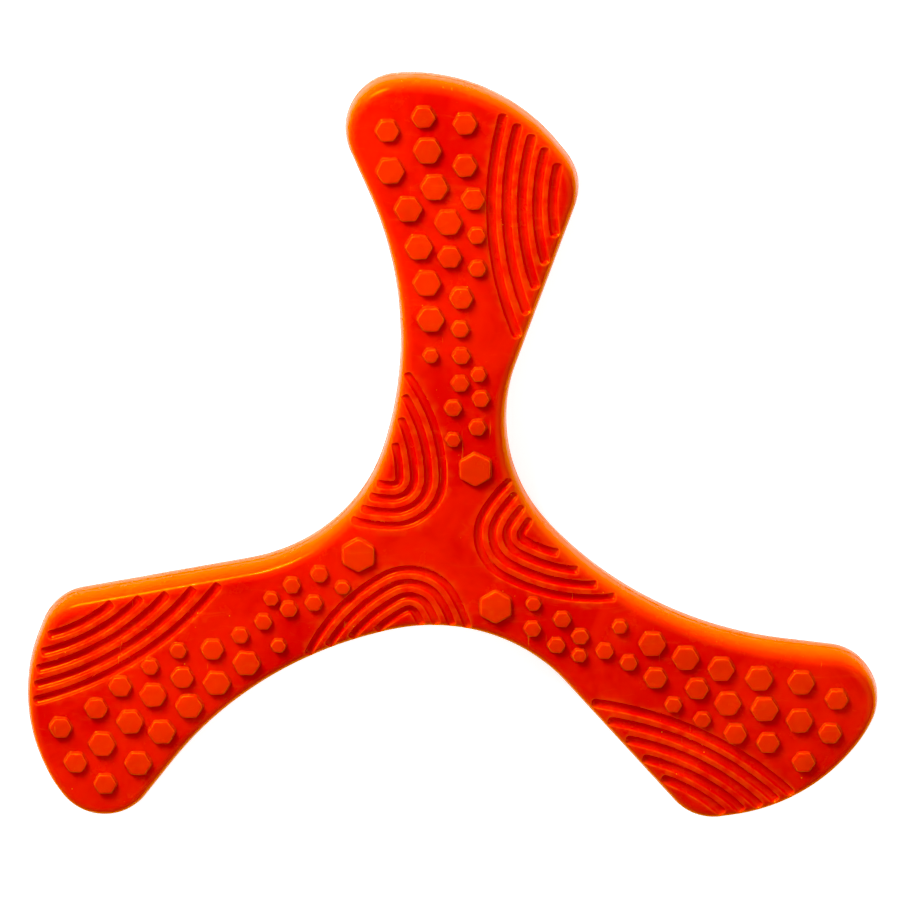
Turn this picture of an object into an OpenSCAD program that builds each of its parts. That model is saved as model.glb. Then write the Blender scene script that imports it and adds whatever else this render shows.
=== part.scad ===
// Three-armed throwing boomerang, a solid soft-rubber moulding that lies flat.
// +Z is up, the underside is at z = 0 and the axis of the three arms is x = y = 0.
// One arm points along +Y; the other two are the same arm turned by 120 degrees.
// Places on an arm are given in its own frame: x across the arm, y outwards.

/* [Body] */
// Distance from the centre to the crown of a tip
arm_reach = 142; // [115:1:175]
// Thickness between the flat top and the underside
thickness = 16; // [12:0.5:22]
// Plan distance from the flat face to the widest line of the side, half way up
side_inset = 4; // [2:0.5:5]
// Squareness of the side: 2 is an ellipse, a larger value is boxier
side_squareness = 2.4; // [2:0.1:4]

/* [Arms] */
// Width of an arm at its waist
waist_w = 32; // [26:0.5:42]
// Width between the two outer corners of a tip, before they are rounded
tip_w = 77; // [62:1:95]
// How far an arm's middle stands to the right of the line through the centre
arm_shift = 3; // [0:0.5:5]
// How far the right corner of a tip lies behind its crown
tip_slope = 31; // [25:1:36]
// Distance from the centre to the bottom of the hollow between two arms
hub_r = 28; // [24:0.5:34]
// Distance from the centre at which the hub ends and an arm begins
hub_reach = 56; // [50:1:60]

/* [Tip grooves] */
// Number of curved grooves beside the studs on each tip
tip_grooves = 5; // [3:1:5]
// Width of a tip groove at the surface
tip_groove_w = 2.6; // [1.5:0.1:3.2]
// Distance from one tip groove to the next
tip_groove_pitch = 4.45; // [3.8:0.05:5]
// Radius of the first tip groove
tip_groove_r = 105; // [90:1:120]
// How much tighter each following groove is bent
tip_groove_step = 14; // [8:1:16]

/* [Hub arches] */
// Number of nested arches in each hollow of the hub
arches = 4; // [2:1:4]
// Width of an arch groove at the surface
arch_groove_w = 2.2; // [1.2:0.1:3]
// Distance from one arch to the next
arch_pitch = 4.25; // [3.6:0.05:4.6]
// Corner radius of the smallest arch
arch_first_r = 2.2; // [1.8:0.1:3]

/* [Relief] */
// Depth of every groove
groove_depth = 1.1; // [0.5:0.1:1.8]
// Height of every stud
stud_h = 1.3; // [0.6:0.1:2]
// Width across corners of the big six-sided stud at the root of each arm
big_stud_w = 10.7; // [9:0.1:13]
// Width across corners of the large studs
large_stud_w = 8.4; // [6.5:0.1:9]
// Width across corners of the medium studs
medium_stud_w = 7.2; // [5.5:0.1:7.8]
// Width across corners of the small studs
small_stud_w = 5.5; // [4:0.1:6.2]
// Width across corners of the smallest studs
tiny_stud_w = 4.8; // [3.6:0.1:5.2]

/* [Hidden] */

rubber = [0.93, 0.08, 0.02];
stud_rubber = [0.98, 0.20, 0.04];
arm_turn = 120;
chord = 3.2;            // longest straight step along a rounded corner
straight_step = 8;      // longest step along a straight run, less than cut_overlap
side_steps = 4;         // straight steps from the flat face to the widest line
cut_overlap = 10;       // how far a body runs past its cut before it is cut
clear_of_all = 300;     // a length greater than the whole object
groove_margin = 2.6;    // plan distance that grooves keep from the widest line
stud_gap = 0.2;         // least distance from a stud to the end of its body

// ---- Outline ---------------------------------------------------------------

// Corners of one arm, clockwise from the hollow on its left: [x, y, rounding radius].
left_x = arm_shift - waist_w / 2;
right_x = arm_shift + waist_w / 2;
heel_x = arm_shift - tip_w / 2;
toe_x = arm_shift + tip_w / 2;
toe = [toe_x, arm_reach - tip_slope];
right_waist = [right_x - 7, hub_r - 1];
arm_corners = [
    [left_x - 4.5, hub_r, 70],                  // left hollow
    [left_x + 6.5, arm_reach / 2, 114],         // left flank
    [heel_x, arm_reach - 2.5, 16],              // heel of the tip
    [heel_x + 27.5, arm_reach, 41],             // crown
    [toe_x - 21.5, arm_reach - 4, 55],          // crown, sloping off
    [toe.x, toe.y, 16],                         // toe of the tip
    [right_waist.x, right_waist.y, 52],
];

// How far the right flank of an arm stands from its middle, at distance y from the centre.
function flank(y) =
    lookup(y, [[right_waist.y, right_waist.x - arm_shift], [toe.y, toe.x - arm_shift]]);

function turned(p, a) = [p.x * cos(a) - p.y * sin(a), p.x * sin(a) + p.y * cos(a)];
function unit(v) = v / norm(v);
function cross_z(a, b) = a.x * b.y - a.y * b.x;
function in_arm(p, n) = turned(p, arm_turn * n);    // a place as arm n sees it

corners = [
    for (n = [0 : 2]) for (c = arm_corners)
        let (p = turned([c.x, c.y], -arm_turn * n)) [p.x, p.y, c.z]
];
count = len(corners);

function place(i) = let (c = corners[(i + count) % count]) [c.x, c.y];
function back(i) = unit(place(i - 1) - place(i));
function ahead(i) = unit(place(i + 1) - place(i));
function half_angle(i) = acos(back(i) * ahead(i)) / 2;
function wanted_tangent(i) = corners[(i + count) % count].z / tan(half_angle(i));
function edge_share(i) =
    norm(place(i + 1) - place(i)) / (wanted_tangent(i) + wanted_tangent(i + 1));
// A rounding is made smaller where its two straight sides are too short for it.
function tangent(i) = wanted_tangent(i) * min(1, edge_share(i - 1), edge_share(i));

// Points on rounded corner i, each [x, y, outward normal x, outward normal y].
function corner_points(i) =
    let (
        t = tangent(i),
        half = half_angle(i),
        r = t * tan(half),
        convex = cross_z(ahead(i), back(i)) < 0 ? 1 : -1,
        middle = place(i) + unit(back(i) + ahead(i)) * r / sin(half),
        from = place(i) + back(i) * t - middle,
        start = atan2(from.y, from.x),
        sweep = -convex * (180 - 2 * half),
        steps = max(3, ceil(abs(sweep) * PI / 180 * r / chord))
    )
    [
        for (j = [0 : steps - 1])
            let (a = start + sweep * (j + 0.5) / steps)
            [middle.x + r * cos(a), middle.y + r * sin(a), convex * cos(a), convex * sin(a)]
    ];

// Points along the straight run from corner i to the next, in the same form.
function run_points(i) =
    let (
        from = place(i) + ahead(i) * tangent(i),
        run = place(i + 1) + back(i + 1) * tangent(i + 1) - from,
        steps = ceil(norm(run) / straight_step)
    )
    [
        for (j = [1 : 1 : steps - 1])
            let (p = from + run * j / steps)
            [p.x, p.y, -ahead(i).y, ahead(i).x]
    ];

outline = [for (i = [0 : count - 1]) each concat(corner_points(i), run_points(i))];

function inset(points, d) = [for (p = points) [p[0] - d * p[2], p[1] - d * p[3]]];

// ---- Body ------------------------------------------------------------------

arm_outline = [for (p = outline) if (p[1] > hub_reach - cut_overlap) p];
hub_outline = [
    for (p = outline)
        if (max([for (n = [0 : 2]) in_arm(p, n).y]) < hub_reach + cut_overlap) p
];

// The side's levels from the underside to the top: [inset from the widest line, z].
half_h = thickness / 2;
upper_side = [
    for (j = [0 : side_steps])
        let (a = 90 * j / side_steps)
        [side_inset * (1 - pow(cos(a), 2 / side_squareness)),
         half_h * pow(sin(a), 2 / side_squareness)]
];
side_levels = concat(
    [for (j = [side_steps : -1 : 1]) [upper_side[j][0], half_h - upper_side[j][1]]],
    [for (j = [0 : side_steps]) [upper_side[j][0], half_h + upper_side[j][1]]]
);

// A solid with the given plan outline and the body's rounded side. Every point of the
// outline can be seen from middle, so that its flat faces are fans about that place.
module slab(points, middle) {
    n = len(points);
    top = (len(side_levels) - 1) * n;
    vertices = concat(
        [for (level = side_levels) for (p = inset(points, level[0])) [p.x, p.y, level[1]]],
        [[middle.x, middle.y, 0], [middle.x, middle.y, thickness]]
    );
    low_middle = top + n;
    high_middle = top + n + 1;
    walls = [
        for (k = [0 : n : top - n]) for (i = [0 : n - 1])
            let (j = (i + 1) % n)
            each [[k + i, k + n + j, k + n + i], [k + i, k + j, k + n + j]]
    ];
    underside = [for (i = [0 : n - 1]) [(i + 1) % n, i, low_middle]];
    top_face = [for (i = [0 : n - 1]) [top + i, top + (i + 1) % n, high_middle]];
    polyhedron(vertices, concat(walls, underside, top_face), convexity = 10);
}

module outer_region() {
    translate([-clear_of_all / 2, hub_reach, -1])
        cube([clear_of_all, clear_of_all, thickness + 2]);
}

module inner_region() {
    translate([0, 0, -1])
        rotate(arm_turn / 4)
            cylinder(r = 2 * hub_reach, h = thickness + 2, $fn = 3);
}

// ---- Grooves ---------------------------------------------------------------

// Points along a bend about a centre, from angle a0 to angle a1.
function bend(middle, r, a0, a1) =
    let (n = max(4, ceil(abs(a1 - a0) * PI / 180 * r / chord)))
    [for (j = [0 : n]) let (a = a0 + (a1 - a0) * j / n) middle + r * [cos(a), sin(a)]];

function reversed(points) = [for (i = [len(points) - 1 : -1 : 0]) points[i]];
function without_first(points) = [for (i = [1 : len(points) - 1]) points[i]];

// A flat-bottomed channel between two sides, where it lies in the field for grooves.
module channel(side_a, side_b, field) {
    translate([0, 0, thickness - groove_depth])
        intersection() {
            linear_extrude(2 * groove_depth)
                polygon(concat(side_a, reversed(side_b)));
            linear_extrude(2 * groove_depth)
                polygon(inset(field, groove_margin));
        }
}

groove_middle_y = arm_reach - 37.5;     // where the tip grooves stand furthest left
right_studs = 0.16;                     // place across the arm of the studs beside them
studs_to_groove = 5.2;                  // from the middle of those studs to the first groove
first_groove_x = arm_shift + right_studs * flank(groove_middle_y) + studs_to_groove;
groove_length = 96;                     // of a tip groove before it meets the side

// One side of tip groove i, at distance d from the groove's middle line.
function tip_groove_side(i, d) =
    let (
        r = tip_groove_r - tip_groove_step * i,
        swing = groove_length / 2 / r * 180 / PI,
        middle = [first_groove_x + tip_groove_pitch * i + r, groove_middle_y]
    )
    bend(middle, r + d, 180 - swing, 180 + swing);

module tip_groove(i) {
    channel(tip_groove_side(i, tip_groove_w / 2), tip_groove_side(i, -tip_groove_w / 2), arm_outline);
}

arch_corner = [arm_shift - 18, hub_r - 7.5];    // common centre of the arches' corners
leg_up_r = 40;                                  // extra radius of the leg along the arm
leg_down_r = 30;                                // extra radius of the leg along the hollow
leg_up_swing = 50;
leg_down_swing = 40;

// One side of arch i: a tight corner between two gently bent legs.
function arch_side(i, d) =
    let (r = arch_first_r + arch_pitch * i + d)
    concat(
        bend(arch_corner + [0, leg_down_r], r + leg_down_r, 270 - leg_down_swing, 270),
        without_first(bend(arch_corner, r, 270, 360)),
        without_first(bend(arch_corner - [leg_up_r, 0], r + leg_up_r, 0, leg_up_swing))
    );

module arch(i) {
    channel(arch_side(i, arch_groove_w / 2), arch_side(i, -arch_groove_w / 2), hub_outline);
}

// ---- Studs -----------------------------------------------------------------

// A stud's place across its arm runs from 0 at the arm's middle to 1 at its right flank.

// Studs on one arm: [place across, distance back from the crown, width].
arm_stud_list = [
    [-0.49, 15, medium_stud_w], [-0.22, 11, medium_stud_w], [0.09, 13, medium_stud_w],
    [-0.19, 21, large_stud_w], [-0.47, 27, large_stud_w], [0.09, 25.5, medium_stud_w],
    [-0.14, 32, large_stud_w], [right_studs, 35.5, medium_stud_w], [-0.36, 38.5, large_stud_w],
    [-0.04, 42.5, large_stud_w], [0.21, 46.5, small_stud_w], [-0.31, 50, large_stud_w],
    [-0.03, 53, medium_stud_w], [0.24, 56.5, small_stud_w], [-0.27, 61, large_stud_w],
    [0.09, 65.5, medium_stud_w], [-0.27, 72, large_stud_w], [0.09, 75, small_stud_w],
    [-0.32, 83.2, tiny_stud_w], [0.12, 83.2, small_stud_w],
];

// Studs on the hub, at the root of one arm: [place across, distance from the centre, width].
root_stud_list = [
    [0.41, 53, tiny_stud_w], [0.12, 50.2, small_stud_w], [0.52, 45.5, small_stud_w],
    [0, 42.7, small_stud_w], [0.57, 36.6, small_stud_w], [0, 32.8, tiny_stud_w],
];
big_stud_place = [0.72, 23.5];

// How far a stud reaches along the arm from its middle.
function stud_half_depth(w) = w / 2 * cos(30);

// Puts something on the flat top, at a place across the arm and a distance from the centre.
module on_top(across, y) {
    translate([arm_shift + across * flank(y), y, thickness])
        children();
}

// A straight-sided stud with two corners pointing across the arm.
module stud(across, y, w) {
    on_top(across, y)
        cylinder(d = w, h = stud_h, $fn = 6);
}

// ---- Sub-parts -------------------------------------------------------------

module on_arm(n) {
    rotate(-arm_turn * n)
        children();
}

module arm_blank() {
    intersection() {
        slab(arm_outline, [arm_shift, 0.7 * arm_reach]);
        outer_region();
    }
}

module arm(n) {
    color(rubber)
        on_arm(n)
            difference() {
                arm_blank();
                for (i = [0 : tip_grooves - 1])
                    tip_groove(i);
            }
}

module hub() {
    color(rubber)
        difference() {
            intersection() {
                slab(hub_outline, [0, 0]);
                inner_region();
            }
            for (n = [0 : 2]) on_arm(n)
                for (i = [0 : arches - 1])
                    arch(i);
        }
}

module arm_studs(n) {
    color(stud_rubber)
        on_arm(n)
            for (s = arm_stud_list)
                if (arm_reach - s[1] > hub_reach + stud_half_depth(s[2]) + stud_gap)
                    stud(s[0], arm_reach - s[1], s[2]);
}

module hub_studs() {
    color(stud_rubber)
        for (n = [0 : 2]) on_arm(n) {
            for (s = root_stud_list)
                if (s[1] < hub_reach - stud_half_depth(s[2]) - stud_gap)
                    stud(s[0], s[1], s[2]);
            on_top(big_stud_place.x, big_stud_place.y)
                rotate(30)
                    cylinder(d = big_stud_w, h = stud_h, $fn = 6);
        }
}

hub();
arm(0);  // arm_1
arm(1);  // arm_2
arm(2);  // arm_3
hub_studs();
arm_studs(0);  // arm_1_studs
arm_studs(1);  // arm_2_studs
arm_studs(2);  // arm_3_studs
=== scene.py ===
import math
import random

import bmesh
import bpy
import numpy as np
from bpy.props import FloatProperty, FloatVectorProperty, IntProperty, PointerProperty
from mathutils import Euler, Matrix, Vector, noise
from mathutils.geometry import delaunay_2d_cdt
from mathutils.kdtree import KDTree


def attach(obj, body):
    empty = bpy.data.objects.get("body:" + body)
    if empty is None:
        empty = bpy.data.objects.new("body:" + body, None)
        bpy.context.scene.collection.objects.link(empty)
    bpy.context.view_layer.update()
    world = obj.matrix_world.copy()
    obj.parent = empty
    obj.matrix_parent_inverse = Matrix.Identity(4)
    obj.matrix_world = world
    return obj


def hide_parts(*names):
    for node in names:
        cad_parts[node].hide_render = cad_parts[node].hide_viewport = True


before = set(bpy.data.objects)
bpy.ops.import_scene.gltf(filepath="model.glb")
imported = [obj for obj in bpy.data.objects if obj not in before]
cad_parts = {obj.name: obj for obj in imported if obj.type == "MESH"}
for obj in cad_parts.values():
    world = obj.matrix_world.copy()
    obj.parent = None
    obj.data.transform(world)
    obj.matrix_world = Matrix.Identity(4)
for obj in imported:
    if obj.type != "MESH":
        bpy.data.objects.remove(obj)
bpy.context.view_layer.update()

bl_info = {
    "name": "Three-armed boomerang",
    "version": (1, 0),
    "blender": (4, 5, 0),
    "location": "3D View > Sidebar > Boomerang",
    "description": "A soft rubber three-armed boomerang with grip studs and grooves",
    "category": "Object",
}

MM = 0.001
ARMS = 3
ARM_TURN = 120

# ---- Settings --------------------------------------------------------------


def length(name, description, millimetres):
    return FloatProperty(name=name, description=description, default=millimetres * MM,
                         min=0, precision=5, subtype="DISTANCE", unit="LENGTH")


def colour(name, description, rgb):
    return FloatVectorProperty(name=name, description=description, default=rgb,
                               size=3, min=0, max=1, subtype="COLOR")


class BoomerangSizes(bpy.types.PropertyGroup):
    """Sizes of the moulding"""
    arm_reach: length("Arm reach", "Distance from the centre to the crown of a tip", 142)
    thickness: length("Thickness", "Between the flat top and the underside", 16)
    side_inset: length("Side rounding", "Plan distance from the flat face to the widest line", 4)
    side_squareness: FloatProperty(name="Side squareness", default=2.4, min=2, max=4,
                                   description="2 is an ellipse, more is boxier")
    waist_w: length("Waist width", "Width of an arm at its waist", 32)
    tip_w: length("Tip width", "Width between the outer corners of a tip", 77)
    arm_shift: length("Arm shift", "How far an arm's middle stands to the right", 3)
    tip_slope: length("Tip slope", "How far the right corner lies behind the crown", 31)
    hub_r: length("Hub radius", "Distance from the centre to the hollow between arms", 28)
    tip_grooves: IntProperty(name="Tip grooves", description="Grooves on each tip",
                             default=5, min=3, max=5)
    tip_groove_w: length("Tip groove width", "Width at the surface", 2.6)
    tip_groove_pitch: length("Tip groove pitch", "From one groove to the next", 4.45)
    tip_groove_r: length("Tip groove radius", "Radius of the first groove", 105)
    tip_groove_step: length("Tip groove step", "How much tighter each next one is", 14)
    arches: IntProperty(name="Arches", description="Nested arches in each hollow of the hub",
                        default=4, min=2, max=4)
    arch_groove_w: length("Arch groove width", "Width at the surface", 2.2)
    arch_pitch: length("Arch pitch", "From one arch to the next", 4.25)
    arch_first_r: length("Smallest arch", "Corner radius of the smallest arch", 2.2)
    groove_depth: length("Groove depth", "Depth of every groove", 1.1)
    stud_h: length("Stud height", "Height of every stud", 1.3)


class BoomerangFinish(bpy.types.PropertyGroup):
    """Colours and surface of the rubber"""
    red: colour("Red", "Main colour of the rubber", (0.88, 0.015, 0.0015))
    deep_red: colour("Deep red", "Colour of thicker flow marks", (0.74, 0.006, 0.001))
    # orange colours the flow marks, and is also the painted glow laid on the sides and studs for
    # light coming through the rubber
    orange: colour("Orange", "Where the rubber is thin and light comes through",
                   (0.98, 0.15, 0.004))
    # edge is a painted highlight: orange-yellow lines painted along stud rims and groove lips
    edge: colour("Edge", "Sharp edges, where the rubber is thinnest", (1.0, 0.27, 0.014))
    speck: colour("Speck", "Dust and lint caught on the surface", (0.95, 0.42, 0.28))
    roughness: FloatProperty(name="Roughness", description="Gloss of clean rubber",
                             default=0.20, min=0, max=1, subtype="FACTOR")
    grain: length("Grain", "Size of the fine moulded grain", 0.35)


def sizes():
    """The sizes in millimetres, by name."""
    s = bpy.context.scene.boomerang_sizes
    lengths = {p.identifier for p in s.bl_rna.properties if p.subtype == "DISTANCE"}
    values = {}
    for name in s.bl_rna.properties.keys():
        if name in ("rna_type", "name"):
            continue
        value = getattr(s, name)
        values[name] = value / MM if name in lengths else value
    return type("Sizes", (), values)


# ---- Plan of the moulding, in millimetres ----------------------------------

OUTLINE_STEP = 0.9      # along the outline
CLOSEST = 0.25          # points nearer than this share of a step are dropped
SKIN_IN = 0.12          # the flash line stands proud by this, inside the model's box
PAINTED_GLOW_REACH = 3.6         # plan distance over which the sides get a painted glow: orange painted in for light coming through the rubber's edge
PAINTED_GLOW_MOST = 0.36        # how much of that painted glow at the very side
BREAK = 0.9             # plan distance at which side rings give way to the top's mesh
DOME = 0.45             # how much lower the face is by the sides than along the middle
DOME_REACH = 15.0       # plan distance over which it falls
DOME_START = 2.5        # plan distance over which the fall blends into the rounded side


def turn(p, degrees):
    c, s = math.cos(math.radians(degrees)), math.sin(math.radians(degrees))
    p = np.asarray(p, float)
    return np.stack([p[..., 0] * c - p[..., 1] * s, p[..., 0] * s + p[..., 1] * c], -1)


class Plan:
    """The outline of the whole moulding, clockwise, and places on an arm."""

    def __init__(self, s):
        self.s = s
        left, right = s.arm_shift - s.waist_w / 2, s.arm_shift + s.waist_w / 2
        heel, toe = s.arm_shift - s.tip_w / 2, s.arm_shift + s.tip_w / 2
        self.toe = (toe, s.arm_reach - s.tip_slope)
        self.waist = (right - 7, s.hub_r - 1)
        # corners of one arm, each with the radius that rounds it
        one = [
            (left - 4.5, s.hub_r, 70),              # left waist
            (left + 6.5, s.arm_reach / 2, 114),     # the arm's hollow left side
            (heel, s.arm_reach - 2.5, 16),          # heel of the tip
            (heel + 27.5, s.arm_reach, 41),         # crown
            (toe - 21.5, s.arm_reach - 4, 55),      # where the crown falls away
            (*self.toe, 16),                        # toe of the tip
            (*self.waist, 52),                      # right waist
        ]
        self.corners = [(*turn((x, y), -ARM_TURN * n), r) for n in range(ARMS) for x, y, r in one]
        self.points, self.normals = self._outline()
        self.points = self.points - SKIN_IN * self.normals
        self.tree = KDTree(len(self.points))
        for i, p in enumerate(self.points):
            self.tree.insert((p[0], p[1], 0), i)
        self.tree.balance()

    def _outline(self):
        c = self.corners
        n = len(c)
        at = [np.array(c[i][:2]) for i in range(n)]

        def unit(v):
            return v / np.linalg.norm(v)

        back = [unit(at[i - 1] - at[i]) for i in range(n)]
        ahead = [unit(at[(i + 1) % n] - at[i]) for i in range(n)]
        half = [math.acos(float(back[i] @ ahead[i])) / 2 for i in range(n)]
        wanted = [c[i][2] / math.tan(half[i]) for i in range(n)]
        share = [np.linalg.norm(at[(i + 1) % n] - at[i]) / (wanted[i] + wanted[(i + 1) % n])
                 for i in range(n)]
        reach = [wanted[i] * min(1, share[i - 1], share[i]) for i in range(n)]
        points, normals = [], []
        for i in range(n):
            r = reach[i] * math.tan(half[i])
            cross = ahead[i][0] * back[i][1] - ahead[i][1] * back[i][0]
            convex = 1 if cross < 0 else -1
            middle = at[i] + unit(back[i] + ahead[i]) * r / math.sin(half[i])
            start = at[i] + back[i] * reach[i] - middle
            a0 = math.atan2(start[1], start[0])
            sweep = -convex * (math.pi - 2 * half[i])
            steps = max(4, round(abs(sweep) * r / OUTLINE_STEP))
            for j in range(steps + 1):
                a = a0 + sweep * j / steps
                d = np.array([math.cos(a), math.sin(a)])
                points.append(middle + r * d)
                normals.append(convex * d)
            # straight run to the next corner
            end = at[i] + ahead[i] * reach[i]
            k = (i + 1) % n
            nxt = at[k] + back[k] * reach[k]
            run = np.linalg.norm(nxt - end)
            m = int(run / OUTLINE_STEP)
            for j in range(1, m):
                points.append(end + (nxt - end) * j / m)
                normals.append(normals[-1])
        keep_p, keep_n = [], []
        for p, q in zip(points, normals):
            if not keep_p or np.linalg.norm(p - keep_p[-1]) > CLOSEST * OUTLINE_STEP:
                keep_p.append(p)
                keep_n.append(q)
        if np.linalg.norm(keep_p[0] - keep_p[-1]) < CLOSEST * OUTLINE_STEP:
            keep_p.pop(), keep_n.pop()
        return np.array(keep_p), np.array(keep_n)

    def ring(self, inset):
        """The outline moved inwards."""
        return self.points - inset * self.normals

    def inset_of(self, p):
        """How far a place lies inside the outline, in plan."""
        found, i, _ = self.tree.find((p[0], p[1], 0))
        return float((self.points[i] - np.asarray(p[:2])) @ self.normals[i])

    def flank(self, y):
        """How far the right side of an arm stands from its middle, at distance y."""
        xs = (self.waist[1], self.toe[1])
        return float(np.interp(y, xs, (self.waist[0] - self.s.arm_shift,
                                       self.toe[0] - self.s.arm_shift)))

    def on_arm(self, across, y):
        """A place on arm 1: across runs from 0 at its middle to 1 at its right side."""
        return self.s.arm_shift + across * self.flank(y), y


def crown(inset, s):
    """Height of the rounded side above mid height, as a share of half the thickness."""
    c = min(1.0, max(0.0, 1 - inset / (s.side_inset - SKIN_IN)))
    return (1 - c ** s.side_squareness) ** (1 / s.side_squareness)


SINK = 0.075            # height of the slight sinks and swells of the top
LOW_SINK = 0.03         # the same underneath
CALM_FROM, CALM_OVER = 2.5, 3.0     # plan distances: the sinks start here and grow over this


def calm(inset):
    """0 by the sides, where the face is even, to 1 inside."""
    return min(1.0, max(0.0, (inset - CALM_FROM) / CALM_OVER))


def dome(inset):
    """How far the face falls off towards the sides, like a blade's back."""
    rise = min(1.0, max(0.0, (inset - BREAK) / DOME_START))
    return DOME * max(0.0, 1 - inset / DOME_REACH) ** 2 * rise * rise * (3 - 2 * rise)


def unevenness(x, y, z=0.0):
    """Slight sinks and swells of the moulded face, within about one unit."""
    return (noise.noise(Vector((x / 13, y / 13, z))) * 0.7
            + noise.noise(Vector((x / 5.5 + 7, y / 5.5, z))) * 0.45)


# ---- Grooves ---------------------------------------------------------------

LIP = 0.30              # how far a groove's soft lip runs past its width
MARGIN = 0.12           # flat strip outside a groove's lip
TIP_END = 3.5           # plan distance from the outline to the middle of a tip groove's end
ARCH_END = 2.7          # the same for an arch
END_SQUARENESS = 2.8    # 2 is a round end, more is squarer
CAP_STEPS = 16
FAN_BACK = 37.5         # the tip grooves' middles lie this far behind the crown
FAN_HALF_LENGTH = 48    # longest half of a tip groove, before it is cut to the tip
STUD_ROW = 0.16         # place across the arm of the studs beside the tip grooves
STUDS_TO_GROOVE = 5.2   # from those studs' middle to the first groove
ARCH_LEFT = 18          # the arches' common corner stands this far left of the arm's middle
ARCH_IN = 7.5           # and this far in from the hollow between the arms
LEG_DOWN_R, LEG_UP_R = 30, 40       # extra radius of an arch's two legs
LEG_TURN = 40           # degrees that the first leg runs on for
LEG_UP_TURN = 50        # the same for the second
TIP_STEP, ARCH_STEP = 1.1, 0.8      # mesh steps along the grooves
ACROSS = (0, 0.34, 0.52, 0.64, 0.73, 0.80, 0.86, 0.91, 0.955, 1)


def arc(middle, r, a0, a1, step=0.25):
    n = max(8, int(abs(a1 - a0) * math.pi / 180 * r / step))
    a = np.radians(np.linspace(a0, a1, n + 1))
    return np.array(middle) + r * np.stack([np.cos(a), np.sin(a)], 1)


def resample(path, step):
    run = np.r_[0, np.cumsum(np.linalg.norm(np.diff(path, axis=0), axis=1))]
    n = max(6, round(run[-1] / step))
    t = np.linspace(0, run[-1], n + 1)
    return np.stack([np.interp(t, run, path[:, 0]), np.interp(t, run, path[:, 1])], 1)


def inside_run(path, plan, seed, clear):
    """The stretch of a path around its point number seed that stays clear of the side."""
    ok = [plan.inset_of(p) >= clear for p in path]
    if not ok[seed]:
        return None
    a = b = seed
    while a > 0 and ok[a - 1]:
        a -= 1
    while b < len(path) - 1 and ok[b + 1]:
        b += 1
    return path[a:b + 1]


def groove_paths(plan):
    """Middle line and width of every groove."""
    s = plan.s
    made = []
    y0 = s.arm_reach - FAN_BACK
    x0 = s.arm_shift + STUD_ROW * plan.flank(y0) + STUDS_TO_GROOVE
    for n in range(ARMS):
        for i in range(s.tip_grooves):
            r = s.tip_groove_r - s.tip_groove_step * i
            swing = math.degrees(FAN_HALF_LENGTH / r)
            line = arc((x0 + s.tip_groove_pitch * i + r, y0), r, 180 - swing, 180 + swing)
            line = turn(line, -ARM_TURN * n)
            line = inside_run(line, plan, len(line) // 2, TIP_END)
            made.append((line, s.tip_groove_w, TIP_STEP))
        corner = np.array((s.arm_shift - ARCH_LEFT, s.hub_r - ARCH_IN))
        for i in range(s.arches):
            r = s.arch_first_r + s.arch_pitch * i
            down = arc(corner + (0, LEG_DOWN_R), r + LEG_DOWN_R, 270 - LEG_TURN, 270)
            bend = arc(corner, r, 270, 360)
            up = arc(corner - (LEG_UP_R, 0), r + LEG_UP_R, 0, LEG_UP_TURN)
            line = np.concatenate([down, bend[1:], up[1:]])
            seed = len(down) + len(bend) // 2
            line = turn(line, -ARM_TURN * n)
            line = inside_run(line, plan, seed, ARCH_END)
            made.append((line, s.arch_groove_w, ARCH_STEP))
    return [(resample(p, step), w) for p, w, step in made if p is not None and len(p) > 12]


def groove_shape(t):
    """Depth across a groove: 1 along the floor, falling to 0 at the lip with no crease."""
    return (1 - min(1.0, t) ** 3.6) ** 1.45


# ---- The moulded body ------------------------------------------------------


class MeshParts:
    """Collects points and faces, then makes one Blender mesh, in metres."""

    def __init__(self):
        self.verts, self.faces, self.sharp = [], [], []

    def add(self, x, y, z, sharp=0.0):
        """sharp is 0 to 1, how near a place is to a moulded edge, and so how much painted
        highlight colour it gets.
        """
        self.verts.append((x, y, z))
        self.sharp.append(sharp)
        return len(self.verts) - 1

    def face(self, *corners):
        if len(set(corners)) > 2:
            self.faces.append(corners)

    def object(self, name, material, thin):
        """The last argument gives each place, 0 to 1, how much painted glow it gets: orange
        painted in for light coming through the rubber.
        """
        mesh = bpy.data.meshes.new(name)
        mesh.from_pydata([(x * MM, y * MM, z * MM) for x, y, z in self.verts], [], self.faces)
        shade = mesh.attributes.new("thin", "FLOAT", "POINT")
        shade.data.foreach_set("value", [thin(*v) for v in self.verts])
        # the edge attribute carries the painted highlight along stud rims and groove lips
        edge = mesh.attributes.new("edge", "FLOAT", "POINT")
        edge.data.foreach_set("value", self.sharp)
        mesh.validate()
        for f in mesh.polygons:
            f.use_smooth = True
        mesh.materials.append(material)
        obj = bpy.data.objects.new(name, mesh)
        bpy.context.scene.collection.objects.link(obj)
        return obj


SIDE_RINGS = 12
# The narrow line where the two halves of the mould met: [inset, height above mid height].
FLASH_LINE = [(-0.10, 0.0), (-0.085, 0.08), (-0.03, 0.17), (0.0, 0.28), (0.0, 0.55)]
ABOVE_FLASH = 0.9       # the rounded side starts above this
SHOULDER = (1.15, 1.35, 1.55, 1.8, 2.1, 2.4, 2.7, 3.0, 3.35, 3.8, 4.5)  # insets of the top's rows
FIELD_STEP = 1.9        # between the points inside them
FIELD_INSET = 5.3       # where those points begin
ROW_RISE = 0.866        # height of a row of equal triangles


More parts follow.
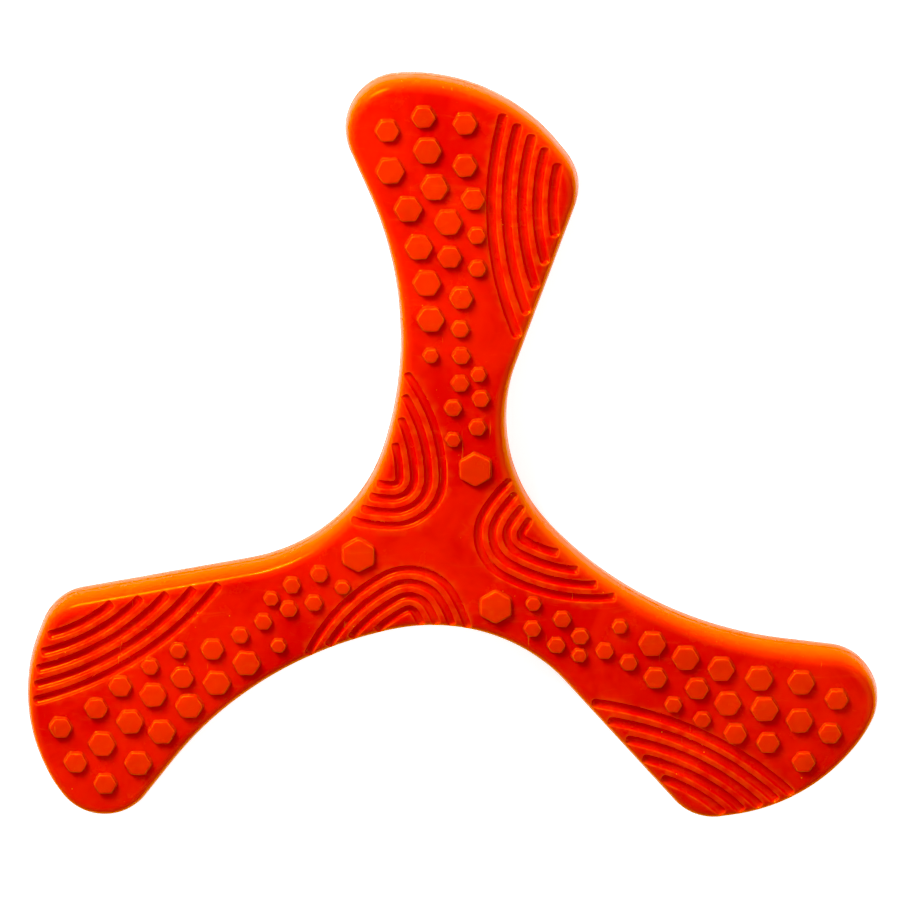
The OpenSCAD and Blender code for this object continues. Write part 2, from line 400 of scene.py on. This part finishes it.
def side_levels(s):
    """[inset, z] of the side rings, from the underside's shoulder up to the top's."""
    half = s.thickness / 2
    wide = s.side_inset - SKIN_IN
    upper = []
    a_end = math.acos((1 - BREAK / wide) ** (s.side_squareness / 2))
    for j in range(1, SIDE_RINGS + 1):
        a = a_end * j / SIDE_RINGS
        inset = wide * (1 - math.cos(a) ** (2 / s.side_squareness))
        z = half * math.sin(a) ** (2 / s.side_squareness)
        upper.append((inset, z))
    upper = FLASH_LINE + [(i, z) for i, z in upper if z > ABOVE_FLASH]
    lower = [(i, half - z) for i, z in reversed(upper[1:])]
    return lower + [(i, half + z) for i, z in upper]


def groove_strip(m, path, width, depth, height):
    """One groove's mesh with rounded ends. Returns the loop of its outer edge, in order."""
    edge = width / 2 + LIP
    radii = [t * edge for t in ACROSS] + [edge + MARGIN]
    drops = [groove_shape(t) * depth for t in ACROSS] + [0.0]
    # painted highlight: how much highlight colour each ring of a groove gets, most at its lip
    sharps = [max(0.0, t - 0.8) / 0.2 for t in ACROSS] + [0.4]
    tangent = np.gradient(path, axis=0)
    tangent /= np.linalg.norm(tangent, axis=1)[:, None]
    left = np.stack([-tangent[:, 1], tangent[:, 0]], 1)

    def point(p, drop, sharp):
        return m.add(p[0], p[1], height(p[0], p[1]) - drop, sharp)

    side = list(zip(radii, drops, sharps))[1:]
    rows = []       # one row per path point, from left edge to right edge
    for p, l in zip(path, left):
        row = [point(p + l * r, d, e) for r, d, e in side[::-1]]
        row.append(point(p, drops[0], 0.0))
        row += [point(p - l * r, d, e) for r, d, e in side]
        rows.append(row)
    mid = len(radii) - 1
    for a, b in zip(rows, rows[1:]):
        for i in range(len(a) - 1):
            m.face(a[i], b[i], b[i + 1], a[i + 1])

    def cap(p, start, sign, row):
        """Half a turn about an end; start points along the row's first side."""
        spokes = [[row[mid - k] if sign > 0 else row[mid + k] for k in range(mid + 1)]]
        for j in range(1, CAP_STEPS):
            a = math.pi * j / CAP_STEPS
            power = END_SQUARENESS
            square = (abs(math.cos(a)) ** power + abs(math.sin(a)) ** power) ** (-1 / power)
            d = turn(start, math.degrees(a)) * square
            spokes.append([row[mid]] + [point(p + d * r, z, e) for r, z, e in side])
        spokes.append([row[mid + k] if sign > 0 else row[mid - k] for k in range(mid + 1)])
        for a, b in zip(spokes, spokes[1:]):
            for k in range(mid):
                if k == 0:
                    m.face(a[0], a[1], b[1])
                else:
                    m.face(a[k], a[k + 1], b[k + 1], b[k])
        return [sp[-1] for sp in spokes[1:-1]]

    # seen from above: the first end turns from left round the back to right, the last from
    # right round the front to left, both anticlockwise
    first = cap(path[0], left[0], 1, rows[0])
    last = cap(path[-1], -left[-1], -1, rows[-1])
    right_edge = [r[-1] for r in rows]
    left_edge = [r[0] for r in rows]
    return left_edge[::-1] + first + right_edge + last


def fill(m, outer, holes, inner_points, height):
    """Triangles between an outer loop and the holes, with loose points among them."""
    ids, flat, at = [], [], {}

    def use(i):
        if i not in at:
            at[i] = len(flat)
            ids.append(i)
            flat.append(Vector(m.verts[i][:2]))
        return at[i]

    loops = [[use(i) for i in outer]] + [[use(i) for i in h] for h in holes]
    for x, y in inner_points:
        ids.append(m.add(x, y, height(x, y)))
        flat.append(Vector((x, y)))
    verts, _, faces, origin, _, owner = delaunay_2d_cdt(flat, [], loops, 0, 1e-7, True)
    index = []
    for k, o in enumerate(origin):
        if o:
            index.append(ids[o[0]])
        else:
            index.append(m.add(verts[k].x, verts[k].y, height(verts[k].x, verts[k].y)))
    return [tuple(index[i] for i in f) for f, own in zip(faces, owner) if list(own) == [0]]


def build_body(plan, finish_material):
    """One closed skin for the hub and the arms, with every groove cut into its top."""
    s = plan.s
    half = s.thickness / 2
    m = MeshParts()

    def top_height(x, y):
        d = plan.inset_of((x, y))
        z = half + half * crown(d, s)
        return z - dome(d) + calm(d) * (SINK * unevenness(x, y) - LOW_SINK)

    def low_height(x, y):
        d = plan.inset_of((x, y))
        return half - half * crown(d, s) + calm(d) * LOW_SINK * (1.1 + unevenness(x, y, 40.0))

    levels = side_levels(s)
    count = len(plan.points)
    rings = [[m.add(p[0], p[1], z) for p in plan.ring(inset)] for inset, z in levels]
    for low, high in zip(rings, rings[1:]):
        for i in range(count):
            j = (i + 1) % count
            m.face(low[j], low[i], high[i], high[j])

    # grooves, with their outer edges as holes in the top
    holes, lines = [], []
    for path, width in groove_paths(plan):
        holes.append(groove_strip(m, path, width, s.groove_depth, top_height))
        lines.append((path, width / 2 + LIP + MARGIN))
    taken = KDTree(sum(len(p) for p, _ in lines))
    reach, k = [], 0
    for path, r in lines:
        for p in path:
            taken.insert((p[0], p[1], 0), k)
            reach.append(r)
            k += 1
    taken.balance()

    def free(x, y, clear):
        """Whether a place stays this far outside every groove."""
        for _, i, d in taken.find_n((x, y, 0), 3):
            if d < reach[i] + clear:
                return False
        return True

    shoulder = [p for d in SHOULDER for p in plan.ring(d)]
    lo, hi = plan.points.min(0), plan.points.max(0)
    field = []
    rise = FIELD_STEP * ROW_RISE
    for row in range(int((hi[1] - lo[1]) / rise) + 1):
        for col in range(int((hi[0] - lo[0]) / FIELD_STEP) + 1):
            p = (lo[0] + (col + 0.5 * (row % 2)) * FIELD_STEP, lo[1] + row * rise)
            if plan.inset_of(p) > FIELD_INSET:
                field.append(p)
    top_points = [p for p in shoulder if free(p[0], p[1], 0.32)]
    top_points += [p for p in field if free(p[0], p[1], 0.75)]
    # the outline runs clockwise, so its loops are turned round for the fill
    top = fill(m, rings[-1][::-1], holes, top_points, top_height)
    m.faces += top
    coarse = [p for i, p in enumerate(field) if i % 2 == 0]
    low = fill(m, rings[0][::-1], [], shoulder + coarse, low_height)
    m.faces += [f[::-1] for f in low]

    # painted glow: the sides are painted orange, most at the outline, for light coming through the
    # rubber's edge
    def thin(x, y, z):
        edge = plan.inset_of((x, y))
        return PAINTED_GLOW_MOST * min(1.0, max(0.0, (PAINTED_GLOW_REACH - edge) / PAINTED_GLOW_REACH))

    obj = m.object("moulded_body", finish_material, thin)
    bm = bmesh.new()
    bm.from_mesh(obj.data)
    bmesh.ops.recalc_face_normals(bm, faces=bm.faces)
    open_edges = sum(1 for e in bm.edges if not e.is_manifold)
    bm.to_mesh(obj.data)
    bm.free()
    if open_edges:
        raise RuntimeError(f"the moulded body has {open_edges} open edges")
    return obj


# ---- Studs -----------------------------------------------------------------

BIG, LARGE, MEDIUM, SMALL, TINY = 10.7, 8.4, 7.2, 5.5, 4.8     # widths across corners

# Studs on an arm: [place across, distance back from the crown, width].
ARM_STUDS = (
    (-0.49, 15, MEDIUM), (-0.22, 11, MEDIUM), (0.09, 13, MEDIUM), (-0.19, 21, LARGE),
    (-0.47, 27, LARGE), (0.09, 25.5, MEDIUM), (-0.14, 32, LARGE), (0.16, 35.5, MEDIUM),
    (-0.36, 38.5, LARGE), (-0.04, 42.5, LARGE), (0.21, 46.5, SMALL), (-0.31, 50, LARGE),
    (-0.03, 53, MEDIUM), (0.24, 56.5, SMALL), (-0.27, 61, LARGE), (0.09, 65.5, MEDIUM),
    (-0.27, 72, LARGE), (0.09, 75, SMALL), (-0.32, 83.2, TINY), (0.12, 83.2, SMALL),
)
# Studs at an arm's root: [place across, distance from the centre, width].
ROOT_STUDS = (
    (0.41, 53, TINY), (0.12, 50.2, SMALL), (0.52, 45.5, SMALL), (0, 42.7, SMALL),
    (0.57, 36.6, SMALL), (0, 32.8, TINY),
)
BIG_STUD = (0.72, 23.5, BIG)
STUD_FOOT = 2.6         # how far a stud runs on down inside the body
AROUND = 60
STUD_PAINTED_GLOW = 0.16        # painted glow on the studs, from 0 to 1: orange painted in for light the raised rubber catches
ROUNDING = 12.0         # how sharply a corner's two flats and its round end meet
TOP_INSET = 0.9         # where a stud's rim ends and its top begins
TOP_RINGS = (0.62, 0.3)             # rings of the top, as shares of the way from its middle
RAGGED, RAGGED_FINE = 0.16, 0.06    # how uneven a stud's walls are, coarsely and finely
RIM_DENT, TOP_DENT, PEAK_DENT = 0.06, 0.07, 0.05    # how uneven its top is, outwards to middle
LEAN = 0.012            # steepest slope of its top
BELOW_TOP = 0.02        # keeps the uneven tops inside the model's box


def hexagon_radius(angle, width, corner):
    """Distance from the middle to the side of a six-cornered shape with soft corners."""
    flat = width / 2 * math.cos(math.radians(30))
    a = (angle + math.pi / 6) % (math.pi / 3) - math.pi / 6     # from the nearest corner
    b = math.pi / 6 - abs(a)                                    # from the nearest flat's middle
    sharp = flat / math.cos(b)
    round_end = width / 2 - corner * 0.32
    k = ROUNDING
    return -math.log(math.exp(-k * sharp) + math.exp(-k * round_end)) / k + 0.02


def add_stud(m, x, y, angle, width, height, ground, rng):
    """One stud with a flared foot, drafted walls, a soft top edge and a slightly uneven top."""
    seed = rng.uniform(0, 100)
    high = height * rng.uniform(0.93, 1.0)
    lean = rng.uniform(-LEAN, LEAN), rng.uniform(-LEAN, LEAN)
    corner = 0.3 + 0.03 * width
    # [distance in from the stud's side, height above the ground]
    levels = [
        (-0.42, -STUD_FOOT), (-0.42, -0.015), (-0.27, 0.02), (-0.15, 0.09), (-0.07, 0.19),
        (-0.02, 0.34), (0.05, high * 0.55), (0.10, high - 0.30), (0.13, high - 0.19),
        (0.20, high - 0.09), (0.30, high - 0.03), (0.44, high), (TOP_INSET, high + 0.01),
    ]
    rings = []
    for inset, z in levels:
        # painted highlight: a stud's top rim gets the full highlight colour
        sharp = 1.0 if 0.12 < inset < 0.35 else 0.0
        ring = []
        for k in range(AROUND):
            a = 2 * math.pi * k / AROUND
            r = hexagon_radius(a, width, corner) - inset
            c, s = math.cos(a), math.sin(a)
            ragged = noise.noise(Vector((c * 1.6, s * 1.6, seed))) * RAGGED
            ragged += noise.noise(Vector((c * 5, s * 5, seed))) * RAGGED_FINE
            if z > 0.05:
                r += ragged
            dx, dy = r * math.cos(a + angle), r * math.sin(a + angle)
            tilt = (dx * lean[0] + dy * lean[1]) if z > 0.3 else 0
            dent = 0
            if z > height * 0.8:
                dent = RIM_DENT * noise.noise(Vector((dx / 1.7, dy / 1.7, seed)))
            ring.append(m.add(x + dx, y + dy, ground + z + tilt + dent, sharp))
        rings.append(ring)
    for share in TOP_RINGS:
        ring = []
        for k in range(AROUND):
            a = 2 * math.pi * k / AROUND
            r = (hexagon_radius(a, width, corner) - TOP_INSET) * share
            dx, dy = r * math.cos(a + angle), r * math.sin(a + angle)
            dent = TOP_DENT * noise.noise(Vector((dx / 1.7, dy / 1.7, seed)))
            ring.append(m.add(x + dx, y + dy,
                              ground + high + dx * lean[0] + dy * lean[1] + dent))
        rings.append(ring)
    for low, up in zip(rings, rings[1:]):
        for k in range(AROUND):
            j = (k + 1) % AROUND
            m.face(low[k], low[j], up[j], up[k])
    peak = m.add(x, y, ground + high + PEAK_DENT * noise.noise(Vector((0, 0, seed))))
    foot = m.add(x, y, ground - STUD_FOOT)
    for k in range(AROUND):
        j = (k + 1) % AROUND
        m.face(rings[-1][k], rings[-1][j], peak)
        m.face(rings[0][j], rings[0][k], foot)


def stud_group(name, places, plan, material, seed):
    """One mesh with a stud at each of the places: [x, y, angle in degrees, width]."""
    rng = random.Random(seed)
    m = MeshParts()
    s = plan.s
    for x, y, angle, width in places:
        ground = s.thickness - LOW_SINK - dome(plan.inset_of((x, y))) + SINK * unevenness(x, y)
        turned = math.radians(angle + rng.uniform(-2, 2))
        wide = width * rng.uniform(0.985, 1.01)
        add_stud(m, x, y, turned, wide, s.stud_h - BELOW_TOP, ground, rng)
    # every stud gets the same painted glow
    return m.object(name, material, lambda x, y, z: STUD_PAINTED_GLOW)


# ---- Rubber ----------------------------------------------------------------


class Nodes:
    """Short ways to add and join shader nodes."""

    def __init__(self, name):
        self.material = bpy.data.materials.new(name)
        self.material.use_nodes = True
        self.tree = self.material.node_tree
        self.tree.nodes.clear()

    def node(self, kind, **settings):
        n = self.tree.nodes.new(kind)
        for key, value in settings.items():
            if key in n.inputs:
                n.inputs[key].default_value = value
            else:
                setattr(n, key, value)
        return n

    def put(self, n, values):
        for key, value in values.items():
            if isinstance(value, bpy.types.NodeSocket):
                self.tree.links.new(value, n.inputs[key])
            else:
                n.inputs[key].default_value = value
        return n

    def noise(self, where, scale, detail=2.0, rough=0.5, distortion=0.0):
        n = self.node("ShaderNodeTexNoise")
        self.put(n, {"Vector": where, "Scale": scale, "Detail": detail,
                     "Roughness": rough, "Distortion": distortion})
        return n.outputs["Fac"]

    def range(self, value, a, b, c=0.0, d=1.0, smooth=True):
        n = self.node("ShaderNodeMapRange",
                      interpolation_type="SMOOTHSTEP" if smooth else "LINEAR")
        self.put(n, {"Value": value, "From Min": a, "From Max": b, "To Min": c, "To Max": d})
        return n.outputs["Result"]

    def math(self, kind, a, b=0.0):
        n = self.node("ShaderNodeMath", operation=kind)
        self.put(n, {0: a, 1: b})
        return n.outputs[0]

    def mix(self, fac, a, b):
        n = self.node("ShaderNodeMix", data_type="RGBA")
        self.put(n, {0: fac, 6: a, 7: b})
        return n.outputs[2]

    def bump(self, height, distance, strength=1.0, normal=None):
        n = self.node("ShaderNodeBump")
        self.put(n, {"Height": height, "Distance": distance, "Strength": strength})
        if normal is not None:
            self.put(n, {"Normal": normal})
        return n.outputs["Normal"]


def rgba(c):
    return (*c, 1.0)


def rubber(name, warmth):
    """Soft translucent rubber: flow marks, specks, scuffs and fine grain, with a painted orange
    glow on the sides and studs and painted highlights along the edges.
    """
    f = bpy.context.scene.boomerang_finish
    t = Nodes(name)
    where = t.node("ShaderNodeTexCoord").outputs["Object"]

    # colour: slow mottling, stretched flow marks, then a painted glow on the sides and painted
    # highlights on the edges
    mottle = t.range(t.noise(where, 38, 4, 0.6, 0.6), 0.38, 0.66)
    base = t.mix(mottle, rgba(f.red), rgba(f.deep_red))
    flow_map = t.node("ShaderNodeMapping")
    t.put(flow_map, {"Vector": where, "Rotation": (0, 0, 0.6), "Scale": (1.0, 3.2, 1.0)})
    flow = t.range(t.noise(flow_map.outputs[0], 85, 5, 0.62, 1.4), 0.55, 0.80, 0, 0.16 + warmth)
    base = t.mix(flow, base, rgba(f.orange))
    # painted highlight: orange-yellow painted along the edges, broken up by noise
    edge = t.node("ShaderNodeAttribute", attribute_name="edge").outputs["Fac"]
    highlight_patchiness = t.range(t.noise(where, 300, 3), 0.3, 0.7, 0.04, 0.34)
    painted_edge_highlight = t.math("MULTIPLY", edge, highlight_patchiness)
    # painted glow: orange painted over the sides and studs for light coming through the rubber
    thin = t.node("ShaderNodeAttribute", attribute_name="thin").outputs["Fac"]
    base = t.mix(thin, base, rgba(f.orange))
    base = t.mix(painted_edge_highlight, base, rgba(f.edge))

    # specks of dust, thinly and unevenly spread
    cells = t.node("ShaderNodeTexVoronoi")
    t.put(cells, {"Vector": where, "Scale": 420.0, "Randomness": 1.0})
    dot = t.range(cells.outputs["Distance"], 0.10, 0.05)
    chosen = t.range(t.noise(where, 160, 2), 0.62, 0.66)
    speck = t.math("MULTIPLY", t.math("MULTIPLY", dot, chosen), 0.75)
    base = t.mix(speck, base, rgba(f.speck))

    # scuffs: short fine strokes in two directions
    scuffs = None
    for angle, scale in ((0.5, 260.0), (-0.9, 200.0)):
        turned = t.node("ShaderNodeMapping")
        t.put(turned, {"Vector": where, "Rotation": (0, 0, angle), "Scale": (1.0, 0.07, 1.0)})
        stroke = t.range(t.noise(turned.outputs[0], scale * 4, 3, 0.6), 0.66, 0.74)
        patch = t.range(t.noise(where, 55 + angle * 10, 2), 0.56, 0.66)
        stroke = t.math("MULTIPLY", stroke, patch)
        scuffs = stroke if scuffs is None else t.math("MAXIMUM", scuffs, stroke)
    base = t.mix(t.math("MULTIPLY", scuffs, 0.28), base, rgba(f.speck))

    rough = t.range(t.noise(where, 120, 4, 0.6), 0.3, 0.75, f.roughness - 0.04, f.roughness + 0.10)
    rough = t.math("ADD", rough, t.math("MULTIPLY", scuffs, 0.18))

    grain = t.noise(where, 0.6 / f.grain, 3, 0.55)
    soft = t.noise(where, 420, 2, 0.5)
    normal = t.bump(soft, 0.00010, 0.8)
    normal = t.bump(grain, 0.00003, 0.6, normal)
    normal = t.bump(scuffs, 0.00003, 0.5, normal)

    skin = t.node("ShaderNodeBsdfPrincipled")
    t.put(skin, {"Base Color": base, "Roughness": rough, "Normal": normal})
    skin.inputs["IOR"].default_value = 1.5
    skin.inputs["Specular IOR Level"].default_value = 0.28
    skin.inputs["Specular Tint"].default_value = (1.0, 0.60, 0.22, 1.0)
    skin.inputs["Subsurface Weight"].default_value = 0.75
    skin.inputs["Subsurface Radius"].default_value = (1.0, 0.14, 0.03)
    skin.inputs["Subsurface Scale"].default_value = 0.0020
    skin.inputs["Coat Weight"].default_value = 0.0
    skin.inputs["Coat Roughness"].default_value = 0.22
    out = t.node("ShaderNodeOutputMaterial")
    t.tree.links.new(skin.outputs[0], out.inputs["Surface"])
    return t.material


def shared_rubber(name, warmth):
    return bpy.data.materials.get(name) or rubber(name, warmth)


# ---- Operators -------------------------------------------------------------

CAMERA_LENS = 190.9
CAMERA_PLACE = (0.0053, 0.512, 1.372)
CAMERA_LEAN = 19.67     # degrees away from looking straight down


class OBJECT_OT_boomerang_body(bpy.types.Operator):
    """Make the moulded body: hub and three arms with their grooves"""
    bl_idname = "object.boomerang_body"
    bl_label = "Moulded body"

    def execute(self, context):
        body = build_body(Plan(sizes()), shared_rubber("moulded_rubber", 0.0))
        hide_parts("hub", "arm_1", "arm_2", "arm_3")
        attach(body, "root")
        return {"FINISHED"}


class OBJECT_OT_boomerang_studs(bpy.types.Operator):
    """Make the four groups of six-sided grip studs"""
    bl_idname = "object.boomerang_studs"
    bl_label = "Grip studs"

    def execute(self, context):
        plan = Plan(sizes())
        s = plan.s
        material = shared_rubber("grip_rubber", 0.05)
        roots = []
        for n in range(ARMS):
            tilt = -ARM_TURN * n

            def place(across, y, width, angle=0):
                x, y = turn(plan.on_arm(across, y), tilt)
                return x, y, angle + tilt, width

            arm = [place(a, s.arm_reach - back, w) for a, back, w in ARM_STUDS]
            roots += [place(*r) for r in ROOT_STUDS] + [place(*BIG_STUD, angle=30)]
            studs = stud_group(f"arm_{n + 1}_grip_studs", arm, plan, material, 10 + n)
            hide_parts(f"arm_{n + 1}_studs")
            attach(studs, "root")
        studs = stud_group("hub_grip_studs", roots, plan, material, 20)
        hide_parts("hub_studs")
        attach(studs, "root")
        return {"FINISHED"}


class OBJECT_OT_boomerang_stage(bpy.types.Operator):
    """Set up the pale floor, the soft lights and the camera"""
    bl_idname = "object.boomerang_stage"
    bl_label = "Stage"

    def execute(self, context):
        scene = context.scene
        scene.view_settings.view_transform = "Standard"
        scene.view_settings.look = "None"
        scene.view_settings.exposure = 0.0
        scene.view_settings.gamma = 1.0
        # a camera's deep blacks, most of all in blue, so that white glare doesn't grey the red
        scene.view_settings.use_curve_mapping = True
        scene.view_settings.curve_mapping.black_level = (0.008, 0.009, 0.12)
        scene.view_settings.curve_mapping.update()

        world = bpy.data.worlds.new("studio_air")
        world.use_nodes = True
        world.node_tree.nodes["Background"].inputs["Color"].default_value = (1, 1, 1, 1)
        world.node_tree.nodes["Background"].inputs["Strength"].default_value = 0.34
        scene.world = world

        mesh = bpy.data.meshes.new("floor")
        side = 6.0
        mesh.from_pydata([(-side, -side, 0), (side, -side, 0), (side, side, 0), (-side, side, 0)],
                         [], [(0, 1, 2, 3)])
        floor = bpy.data.objects.new("floor", mesh)
        floor.location.z = -0.0002
        t = Nodes("pale_floor")
        paint = t.node("ShaderNodeBsdfPrincipled")
        where = t.node("ShaderNodeTexCoord").outputs["Object"]
        tone = t.mix(t.noise(where, 6, 3), (0.90, 0.90, 0.90, 1), (0.94, 0.94, 0.94, 1))
        t.put(paint, {"Base Color": tone, "Roughness": 0.85})
        paint.inputs["Specular IOR Level"].default_value = 0.2
        paint.inputs["Emission Color"].default_value = (1, 1, 1, 1)
        paint.inputs["Emission Strength"].default_value = 0.72
        out = t.node("ShaderNodeOutputMaterial")
        t.tree.links.new(paint.outputs[0], out.inputs["Surface"])
        mesh.materials.append(t.material)
        scene.collection.objects.link(floor)

        def softbox(name, place, size, power, tint=(1, 1, 1)):
            light = bpy.data.lights.new(name, "AREA")
            light.shape = "RECTANGLE"
            light.size, light.size_y = size
            light.energy = power
            light.color = tint
            lamp = bpy.data.objects.new(name, light)
            lamp.location = place
            lamp.rotation_euler = (-Vector(place)).to_track_quat("-Z", "Y").to_euler()
            scene.collection.objects.link(lamp)

        softbox("key_softbox", (-0.5, 0.8, 0.42), (0.34, 0.34), 16, (1.0, 0.96, 0.90))
        softbox("fill_softbox", (1.3, -0.5, 1.4), (1.4, 1.4), 5)

        camera = bpy.data.cameras.new("camera")
        camera.sensor_width = 36
        camera.lens = CAMERA_LENS
        camera.clip_start, camera.clip_end = 0.05, 20
        eye = bpy.data.objects.new("camera", camera)
        eye.location = CAMERA_PLACE
        eye.rotation_euler = Euler((-math.radians(CAMERA_LEAN), 0, 0))
        scene.collection.objects.link(eye)
        scene.camera = eye
        return {"FINISHED"}


class VIEW3D_PT_boomerang(bpy.types.Panel):
    """Sizes, finish and steps of the boomerang"""
    bl_idname = "VIEW3D_PT_boomerang"
    bl_label = "Boomerang"
    bl_space_type = "VIEW_3D"
    bl_region_type = "UI"
    bl_category = "Boomerang"

    def draw(self, context):
        for step in STEPS:
            self.layout.operator(step.bl_idname)
        for group in (context.scene.boomerang_sizes, context.scene.boomerang_finish):
            box = self.layout.box()
            for name in group.bl_rna.properties.keys():
                if name not in ("rna_type", "name"):
                    box.prop(group, name)


STEPS = (OBJECT_OT_boomerang_body, OBJECT_OT_boomerang_studs, OBJECT_OT_boomerang_stage)
CLASSES = (BoomerangSizes, BoomerangFinish, *STEPS, VIEW3D_PT_boomerang)


def register():
    for c in CLASSES:
        bpy.utils.register_class(c)
    bpy.types.Scene.boomerang_sizes = PointerProperty(type=BoomerangSizes)
    bpy.types.Scene.boomerang_finish = PointerProperty(type=BoomerangFinish)


def unregister():
    del bpy.types.Scene.boomerang_finish
    del bpy.types.Scene.boomerang_sizes
    for c in reversed(CLASSES):
        bpy.utils.unregister_class(c)


def main():
    register()
    bpy.ops.object.boomerang_stage()
    bpy.ops.object.boomerang_body()
    bpy.ops.object.boomerang_studs()


if __name__ == "__main__":
    main()
